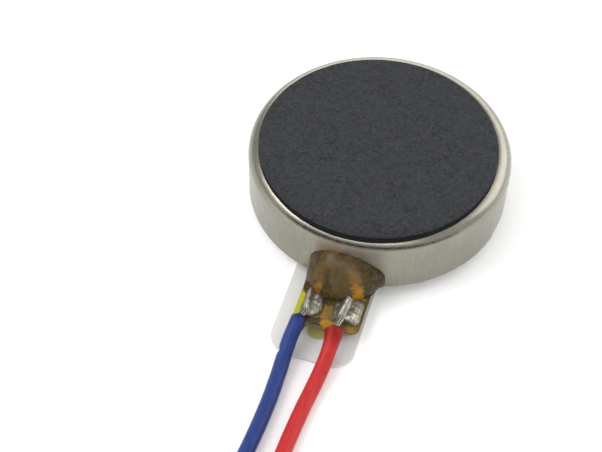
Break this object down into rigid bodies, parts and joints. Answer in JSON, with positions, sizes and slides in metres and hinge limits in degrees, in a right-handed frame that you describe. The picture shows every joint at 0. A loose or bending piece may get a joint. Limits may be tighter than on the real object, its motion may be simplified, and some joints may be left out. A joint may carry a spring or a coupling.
{
  "type": "vibration coin motor",
  "caption": "Flat round vibration motor: a steel can with a foam pad on top, a tongue with a flex circuit and two soldered leads, and an eccentric rotor on a fixed shaft inside.",
  "frame": {"origin": "on the shaft's axis, at the underside of the release liner, the face that the motor rests on", "axes": "+Z along the shaft towards the foam pad; the tongue and the leads run along -Y; +X is to the right when the tongue points at the viewer"},
  "size_m": [0.01, 0.0261, 0.0033],
  "materials": {
    "cap_steel": "satin",
    "base_steel": "satin",
    "clear_tape": "gloss",
    "liner": "satin",
    "foam": "matte",
    "polyimide": "gloss",
    "copper": "satin",
    "solder": "gloss",
    "glue": "gloss",
    "blue_insulation": "satin",
    "red_insulation": "satin",
    "tinned_wire": "satin",
    "shaft_steel": "polished",
    "magnet": "satin",
    "spring_copper": "polished",
    "washer": "matte",
    "board": "satin",
    "gold_copper": "polished",
    "magnet_wire": "gloss",
    "tungsten": "matte",
    "resin": "matte",
    "bronze": "satin"
  },
  "bodies": {
    "stator": {"cap_shell": "cap_steel", "base_plate": "base_steel", "base_adhesive": "clear_tape", "release_liner": "liner", "foam_adhesive": "clear_tape", "foam_pad": "foam", "flex_circuit": "polyimide", "solder_pad_blue": "copper", "solder_pad_red": "copper", "solder_joint_blue": "solder", "solder_joint_red": "solder", "glue_bead": "glue", "ring_magnet": "magnet", "magnet_adhesive": "glue", "shaft": "shaft_steel", "lower_washer": "washer", "upper_washer": "washer", "brush_left": "spring_copper", "brush_right": "spring_copper", "lead_blue": "blue_insulation", "lead_red": "red_insulation", "lead_blue_tip": "tinned_wire", "lead_red_tip": "tinned_wire"},
    "rotor": {"rotor_board": "board", "commutator_segment_1": "gold_copper", "commutator_segment_2": "gold_copper", "commutator_segment_3": "gold_copper", "commutator_segment_4": "gold_copper", "commutator_segment_5": "gold_copper", "commutator_segment_6": "gold_copper", "coil_right": "magnet_wire", "coil_left": "magnet_wire", "counterweight": "tungsten", "rotor_resin": "resin", "bearing_bush": "bronze"}
  },
  "joints": [
    {"name": "rotor_spin", "type": "hinge", "parent": "stator", "child": "rotor", "pos_m": [0, 0, 0.0016], "axis": [0, 0, 1], "continuous": true}
  ]
}
